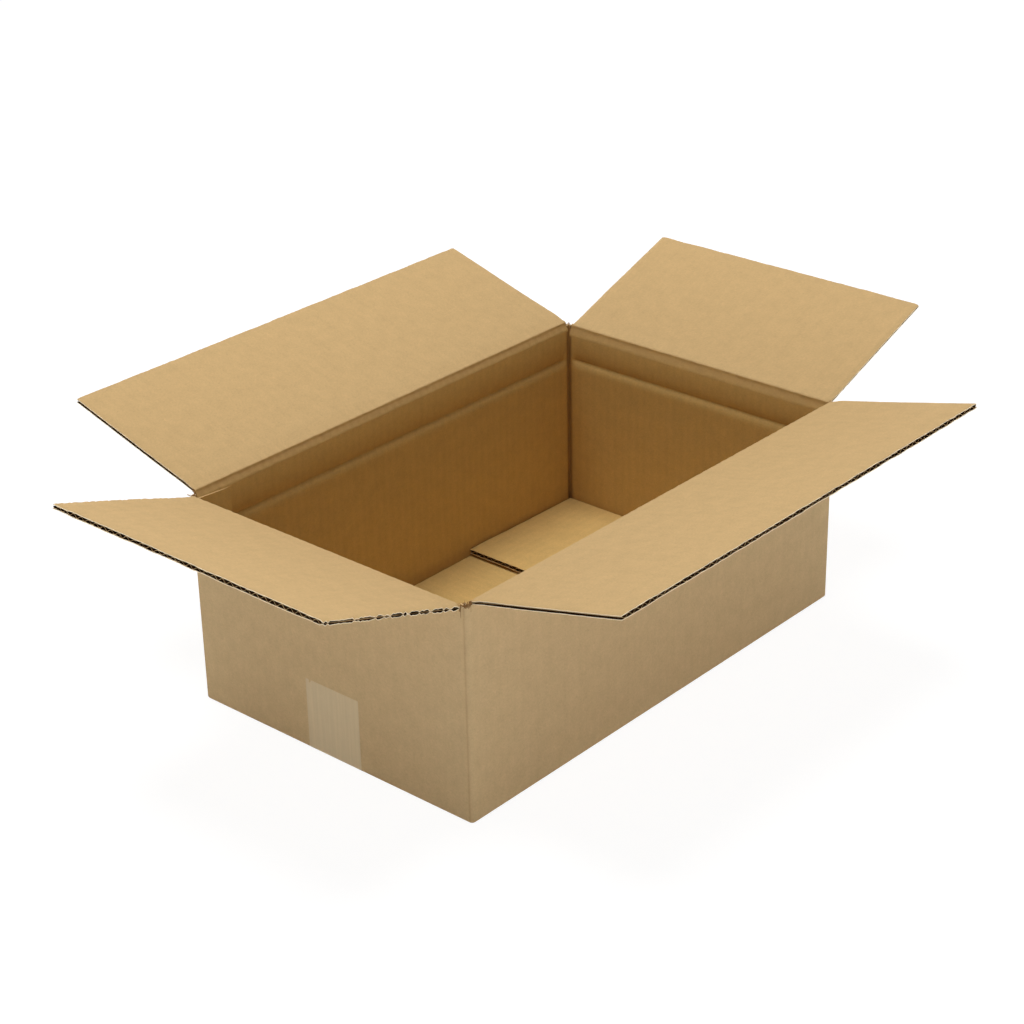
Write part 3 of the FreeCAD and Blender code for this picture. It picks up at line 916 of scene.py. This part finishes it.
def make_bottom_flaps():
    """Long pair on the floor, end pair resting on it and rising a little to its free edge."""
    for side, sign in (("front", 1), ("rear", -1)):
        make_bottom_flap(
            side, Vector((0, sign, 0)), Vector((0, 0, 1)),
            (0, -sign * BOTTOM_REACH, UNDERSIDE + 0.05 * MM),
            {"Width": LONG_BOTTOM_WIDTH, "End": BOTTOM_REACH - 0.4 * MM, "Seed": 3.0 + sign,
             "Rows": 12, "Edge Crush": 0.05})
    slope = math.atan2(BOTTOM_RISE, BOTTOM_REACH)
    for side, sign in (("left", 1), ("right", -1)):
        make_bottom_flap(
            side, Vector((sign * math.cos(slope), 0, math.sin(slope))),
            Vector((-sign * math.sin(slope), 0, math.cos(slope))),
            (-sign * (HALF_LENGTH - WALL_THICKNESS), 0, WALL_THICKNESS + 0.45 * MM),
            {"Width": END_BOTTOM_WIDTH, "End": BOTTOM_REACH, "Seed": 8.0 + sign,
             "Rows": 14, "Edge Crush": 0.10})


def make_glue_tab():
    """Crushed tab of the left end wall, glued to the inside of the rear wall."""
    wall_face = WALL_THICKNESS - HALF_LENGTH
    up = np.concatenate([[0, 1, 3], np.linspace(8, 140, 16), [142.5, 144, 145.2, TAB_RUN]])
    rings, uv = [], []
    for a in np.linspace(0, TAB_WIDTH, 22):
        slope = a * math.tan(math.radians(4))
        low, high = TAB_FOOT + 2 * slope, TAB_TOP - slope
        column, hidden, flat = [], [], []
        for step in up:
            z = low + (high - low) * step / TAB_RUN
            thick = 0.15 + 1.35 * min(1.0, (TAB_WIDTH - a) / 9.0)
            thick *= 1 - 0.5 * float(smooth_step(146.0, 153.0, np.array(z)))
            thick += 0.06 * noise.noise(Vector((a * 0.2, z * 0.05, 9.0)))
            column.append((wall_face + a * MM, (TAB_WALL - thick) * MM, z * MM))
            hidden.append((wall_face + a * MM, (TAB_WALL + 0.3) * MM, z * MM))
            flat.append((TAB_START + a * MM, z * MM))
        rings.append(column + hidden[::-1])
        uv.append(flat + flat[::-1])
    mesh = mesh_from_rings("glue_tab", rings, uv)
    shade_by_angle(mesh, 40)
    tab = link_object("glue_tab", mesh, [kraft_material("inside"), kraft_material("liner")])
    # Faces that point up take the flap liner colour and the rest the shade-tinted inside colour:
    # painted light and shade by facing.
    for face in mesh.polygons:
        face.material_index = 1 if abs(face.normal.z) > 0.6 else 0
    ride_board(tab, BODY)


def make_flaps():
    for side, flap in FLAPS.items():
        wall = WALLS[side]
        name = flap["node"]
        piece = make_board(f"{name}_board", flap_matrix(side), {
            "Width": 2 * (wall["half"] - FLAP_MARGIN), "Start": FLAP_ROOT, "End": FLAP_END,
            "Root Thickness": flap["root"], "Root Reach": 0.009,
            "Warp": -0.0010 if wall["half"] == HALF_LENGTH else 0.0010,
            "Blank U": wall["start"], "Blank V": wall["fold"], "Seed": 20.0 + wall["yaw"] / 10,
            "Edge Crush": 0.38, "Side Crush": flap["crush"], "Torn Side": flap["torn"],
            "Closed Side": flap["closed"], "Ragged": 0.0010, "Rows": 66 if side == "left" else 36})
        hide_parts(name)
        ride_board(piece, name)


def fold_profile(side):
    """Section of a fold at rest: points (inwards, up) from the axis, wall side first.

    The inner liner rolls off the flap's face, dips where it was creased and runs out into the wall.
    """
    lean = math.radians(WALLS[side]["lean"])

    def on_flap(y, z):
        return (y * math.cos(lean) - z * math.sin(lean), y * math.sin(lean) + z * math.cos(lean))

    root = np.array(on_flap(FLAPS[side]["root"], FLAP_ROOT))
    dip = np.array([FOLD_DEPTH, root[1] - ROLL_HEIGHT])
    meet = np.array([dip[0], root[1] - (dip[0] - root[0]) / math.tan(lean)])
    foot = np.array([WALL_THICKNESS, 0.4 * MM - SEAM_DROP])
    inner = [(WALL_THICKNESS, -SEAM_DROP)]
    for t in np.linspace(0, 1, 9)[:-1]:
        inner.append((
            foot[0] + (dip[0] - foot[0]) * t * t * (3 - 2 * t), foot[1] + (dip[1] - foot[1]) * t))
    for t in np.linspace(0, 1, 8):
        inner.append(tuple((1 - t) ** 2 * dip + 2 * t * (1 - t) * meet + t * t * root))
    outer = [
        on_flap(0, FLAP_ROOT), on_flap(0, 0.7 * MM), (-0.12 * MM, -0.02 * MM), (0, -0.7 * MM),
        (0, -2.5 * MM), (0, -SEAM_DROP),
    ]
    return inner + outer, len(inner)


def make_folds():
    """Creased board between each wall and its flap, shaped for the flap at rest."""
    pitch = settings("board").pitch
    for side, flap in FLAPS.items():
        wall = WALLS[side]
        profile, inner_count = fold_profile(side)
        rows = len(profile)
        half = wall["half"] - FLAP_MARGIN
        steps = round(2 * half / (pitch / 5))
        matrix = wall_matrix(side) @ Matrix.Translation((0, 0, wall["fold"]))
        lengths = [math.dist(a, b) for a, b in zip(profile[:-1], profile[1:])]
        travel = np.concatenate([[0.0], np.cumsum(lengths)])
        rings, uv = [], []
        for x in np.linspace(-half, half, steps + 1):
            u = wall["start"] + x
            pressed = math.cos(u / pitch * math.tau)
            ring = []
            for number, (y, z) in enumerate(profile):
                shift = 0.0
                if number in CREASE_POINTS:
                    rough = noise.noise(Vector((u * 160, number * 0.25, 5.0)))
                    shift = 0.00016 * rough + 0.00007 * pressed
                ring.append(tuple(matrix @ Vector((x, y + shift, z + 0.5 * shift))))
            rings.append(ring)
            uv.append([(u, wall["fold"] - SEAM_DROP + distance) for distance in travel])
        mesh = mesh_from_rings(f"{side}_fold", rings, uv)
        painted_dark = np.zeros(rows)
        painted_dark[:len(FOLD_PAINTED_SHADE)] = FOLD_PAINTED_SHADE
        set_painted_shade(mesh, np.tile(painted_dark, steps + 1))
        shade_by_angle(mesh, 42)
        fold = link_object(f"{side}_fold", mesh, [
            kraft_material("inside"), kraft_material("liner"), kraft_material("outside"),
            torn_material()])
        ends = len(mesh.polygons) - 2
        # From FOLD_LINER_ROW the upward roll takes the flap liner colour and the rows below it the
        # shade-tinted inside colour: painted light and shade by place.
        for index, face in enumerate(mesh.polygons):
            row = index % rows
            face.material_index = 2 if row >= inner_count else (1 if row >= FOLD_LINER_ROW else 0)
            if index >= ends:
                face.material_index = 3
        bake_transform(fold)


def make_torn_fibres():
    """Paper shreds where the blade stopped at the tops of the corners, most at the left front."""
    draw = random.Random(11)
    steps = 5
    vertices, faces, kinds = [], [], []

    def draw_vector(x, y, z):
        return Vector((draw.uniform(*x), draw.uniform(*y), draw.uniform(*z)))

    for sign_x, sign_y, count in ((-1, -1, 60), (1, -1, 8), (1, 1, 8), (-1, 1, 8)):
        for _ in range(count):
            start = draw_vector((0.6, 3.6), (0.6, 3.6), (-0.5, 0.3))
            heading = draw_vector((-1, 1), (-1, 1), (0.1, 0.9)).normalized()
            length, width = draw.uniform(1.4, 4.2), draw.uniform(0.4, 1.2)
            curl = draw_vector((-1, 1), (-1, 1), (-1.2, 0.3)) * 0.5
            leaning = Vector((draw.uniform(-1, 1), draw.uniform(-1, 1), 1))
            across = heading.cross(leaning).normalized()
            thin = heading.cross(across).normalized() * 0.09
            base = len(vertices)
            for step in range(steps):
                t = step / (steps - 1)
                middle = start + heading * length * t + curl * t * t
                half = across * (0.5 * width * (1 - 0.8 * t) * draw.uniform(0.7, 1.2))
                for corner in (half + thin, -half + thin, -half - thin, half - thin):
                    point = middle + corner
                    vertices.append((
                        sign_x * (HALF_LENGTH - point.x * MM),
                        sign_y * (HALF_WIDTH - point.y * MM), POST_TOP + point.z * MM))
            rings = []
            for a in range(base, base + 4 * (steps - 1), 4):
                rings += [
                    (a + i, a + (i + 1) % 4, a + 4 + (i + 1) % 4, a + 4 + i) for i in range(4)]
            rings.append((base + 3, base + 2, base + 1, base))
            rings.append(tuple(base + 4 * (steps - 1) + i for i in range(4)))
            faces += [ring[::-1] for ring in rings] if sign_x * sign_y < 0 else rings
            kinds += [1 if draw.random() < 0.12 else 0] * len(rings)
    mesh = bpy.data.meshes.new("torn_fibres")
    mesh.from_pydata(vertices, [], faces)
    shreds = link_object("torn_fibres", mesh, [torn_material(), cut_material()])
    for face, kind in zip(mesh.polygons, kinds):
        face.material_index = kind
    ride_board(shreds, BODY)


def make_tape():
    """Thin film under the seam and up both end walls, its ends cut by a toothed blade."""
    tape = settings("tape")
    film, lift, roll = 0.06 * MM, 0.10 * MM, 2.1 * MM
    tooth_pitch, tooth_height = 1.3 * MM, 0.7 * MM
    x_out = HALF_LENGTH + lift
    climb = np.linspace(0, tape.rise - roll, 26)
    path = [(-x_out, tape.rise - s) for s in climb]
    for angle in np.linspace(0, math.pi / 2, 9)[1:]:
        path.append((-x_out + roll * (1 - math.cos(angle)), roll * (1 - math.sin(angle))))
    path += [(x, 0.0) for x in np.linspace(-x_out + roll, x_out - roll, 24)[1:-1]]
    for angle in np.linspace(math.pi / 2, 0, 9):
        path.append((x_out - roll * (1 - math.cos(angle)), roll * (1 - math.sin(angle))))
    path += [(x_out, roll + s) for s in climb[1:]]
    path = np.array(path)
    travel = np.concatenate([[0], np.cumsum(np.hypot(*np.diff(path, axis=0).T))])
    tangent = np.gradient(path, axis=0)
    tangent /= np.linalg.norm(tangent, axis=1)[:, None]
    normal = np.column_stack([-tangent[:, 1], tangent[:, 0]])
    last = len(path) - 1
    rings, uv = [], []
    for share in np.linspace(-0.5, 0.5, 79):
        phase = (share + 0.5) * tape.width / tooth_pitch
        zigzag = abs(phase % 1.0 - 0.5) * tooth_height
        ring, flat = [], []
        for depth, order in ((0.0, range(last + 1)), (film, range(last, -1, -1))):
            for i in order:
                x, z = path[i] + normal[i] * depth
                if i in (0, last):
                    z -= zigzag
                ring.append((x, tape.offset + share * tape.width, max(z, 0.0)))
                flat.append((share * tape.width, travel[i]))
        rings.append(ring)
        uv.append(flat)
    mesh = mesh_from_rings("tape_film", rings, uv)
    shade_by_angle(mesh, 40)
    film_piece = link_object("tape_film", mesh, [tape_material()])
    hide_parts("sealing_tape")
    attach(film_piece, BODY)


# Stage

def floor_material():
    """White to the camera apart from the carton's soft shadow."""
    material = bpy.data.materials.new("studio floor")
    tree = clear_tree(material)
    paint = tree.add("ShaderNodeBsdfDiffuse", {"Color": (*settings("stage").floor, 1.0)})
    glow = tree.add("ShaderNodeEmission", {"Color": (1, 1, 1, 1), "Strength": FLOOR_GLOW})
    path = tree.add("ShaderNodeLightPath").outputs
    seen = tree.math("MAXIMUM", path["Is Camera Ray"], path["Is Glossy Ray"])
    tree.mix_surface(
        "ShaderNodeOutputMaterial", tree.math("MULTIPLY", seen, 0.8), paint, glow)
    return material


def make_world():
    """Even light from above, stronger light from low down, and white to the camera."""
    stage = settings("stage")
    world = bpy.data.worlds.new("soft studio")
    bpy.context.scene.world = world
    tree = clear_tree(world)
    path = tree.add("ShaderNodeLightPath").outputs
    seen = tree.math(
        "MAXIMUM", tree.math("MAXIMUM", path["Is Camera Ray"], path["Is Glossy Ray"]),
        path["Is Transmission Ray"])
    direction = tree.split(tree.add("ShaderNodeTexCoord").outputs["Generated"])
    low = tree.math(
        "MULTIPLY", tree.math("MULTIPLY_ADD", direction["X"], stage.lean, 1.0), stage.horizon)
    strength = tree.ramp(direction["Z"], 0.0, 0.17, low, stage.sky)
    light = tree.add(
        "ShaderNodeBackground", {"Color": (1.0, 0.995, 0.985, 1.0), "Strength": strength})
    white = tree.add("ShaderNodeBackground", {"Color": (1, 1, 1, 1), "Strength": 1.0})
    tree.mix_surface("ShaderNodeOutputWorld", seen, light, white)


def make_lamp():
    data = bpy.data.lights.new("overhead", "AREA")
    data.shape = "DISK"
    data.size = LAMP_SIZE
    data.energy = settings("stage").lamp
    lamp = link_object("overhead", data)
    lamp.location = LAMP_PLACE
    aim = Vector(LAMP_AIM) - lamp.location
    lamp.rotation_euler = aim.to_track_quat("-Z", "Y").to_euler()


def make_camera():
    data = bpy.data.cameras.new("camera")
    data.sensor_width = CAMERA_SENSOR
    data.lens = CAMERA_LENS
    data.clip_start, data.clip_end = CAMERA_CLIP
    camera = link_object("camera", data)
    forward = Vector(CAMERA_FORWARD).normalized()
    right = Vector(CAMERA_RIGHT)
    right = (right - forward * right.dot(forward)).normalized()
    up = right.cross(forward)
    matrix = Matrix((right, up, -forward)).transposed().to_4x4()
    matrix.translation = Vector(CAMERA_PLACE) * MM
    camera.matrix_world = matrix
    bpy.context.scene.camera = camera


def make_stage():
    bpy.context.scene.view_settings.view_transform = "Standard"
    corners = [(-1, -1), (1, -1), (1, 1), (-1, 1)]
    mesh = bpy.data.meshes.new("floor")
    mesh.from_pydata(
        [(x * FLOOR_HALF, y * FLOOR_HALF, FLOOR_LEVEL) for x, y in corners], [], [(0, 1, 2, 3)])
    floor = link_object("floor", mesh, [floor_material()])
    make_world()
    make_lamp()
    make_camera()


class CARTON_OT_walls(bpy.types.Operator):
    """Make the four walls as one folded sheet"""
    bl_idname = "carton.walls"
    bl_label = "Walls"

    def execute(self, context):
        make_walls()
        return {"FINISHED"}


class CARTON_OT_bottom_flaps(bpy.types.Operator):
    """Make the four bottom flaps"""
    bl_idname = "carton.bottom_flaps"
    bl_label = "Bottom flaps"

    def execute(self, context):
        make_bottom_flaps()
        return {"FINISHED"}


class CARTON_OT_glue_tab(bpy.types.Operator):
    """Make the glue tab"""
    bl_idname = "carton.glue_tab"
    bl_label = "Glue tab"

    def execute(self, context):
        make_glue_tab()
        return {"FINISHED"}


class CARTON_OT_flaps(bpy.types.Operator):
    """Make the four top flaps"""
    bl_idname = "carton.flaps"
    bl_label = "Top flaps"

    def execute(self, context):
        make_flaps()
        return {"FINISHED"}


class CARTON_OT_folds(bpy.types.Operator):
    """Make the creased board between walls and top flaps"""
    bl_idname = "carton.folds"
    bl_label = "Folds"

    def execute(self, context):
        make_folds()
        return {"FINISHED"}


class CARTON_OT_torn_fibres(bpy.types.Operator):
    """Make the torn paper at the tops of the corners"""
    bl_idname = "carton.torn_fibres"
    bl_label = "Torn fibres"

    def execute(self, context):
        make_torn_fibres()
        return {"FINISHED"}


class CARTON_OT_tape(bpy.types.Operator):
    """Make the strip of packing tape"""
    bl_idname = "carton.tape"
    bl_label = "Tape"

    def execute(self, context):
        make_tape()
        return {"FINISHED"}


class CARTON_OT_stage(bpy.types.Operator):
    """Make the floor, the light and the camera"""
    bl_idname = "carton.stage"
    bl_label = "Stage"

    def execute(self, context):
        make_stage()
        return {"FINISHED"}


OPERATORS = (
    CARTON_OT_walls, CARTON_OT_bottom_flaps, CARTON_OT_glue_tab, CARTON_OT_flaps, CARTON_OT_folds,
    CARTON_OT_torn_fibres, CARTON_OT_tape, CARTON_OT_stage,
)
GROUPS = {
    "board": BoardSizes, "colours": BoardColours, "tape": TapeSettings, "stage": StageSettings}


class CARTON_PT_panel(bpy.types.Panel):
    """Sizes, colours and steps of the open carton"""
    bl_idname = "CARTON_PT_panel"
    bl_label = "Open carton"
    bl_space_type = "VIEW_3D"
    bl_region_type = "UI"
    bl_category = "Carton"

    def draw(self, context):
        for name, group in GROUPS.items():
            box = self.layout.box()
            box.label(text=name.capitalize())
            for key in group.__annotations__:
                box.prop(getattr(context.scene, f"carton_{name}"), key)
        for operator in OPERATORS:
            self.layout.operator(operator.bl_idname)


def register():
    for cls in (*GROUPS.values(), *OPERATORS, CARTON_PT_panel):
        bpy.utils.register_class(cls)
    for name, group in GROUPS.items():
        setattr(bpy.types.Scene, f"carton_{name}", bpy.props.PointerProperty(type=group))


def unregister():
    for name in GROUPS:
        delattr(bpy.types.Scene, f"carton_{name}")
    for cls in (CARTON_PT_panel, *reversed(OPERATORS), *reversed(GROUPS.values())):
        bpy.utils.unregister_class(cls)


def main():
    register()
    for step in (
            "walls", "bottom_flaps", "glue_tab", "flaps", "folds", "torn_fibres", "tape", "stage"):
        getattr(bpy.ops.carton, step)()


if __name__ == "__main__":
    main()
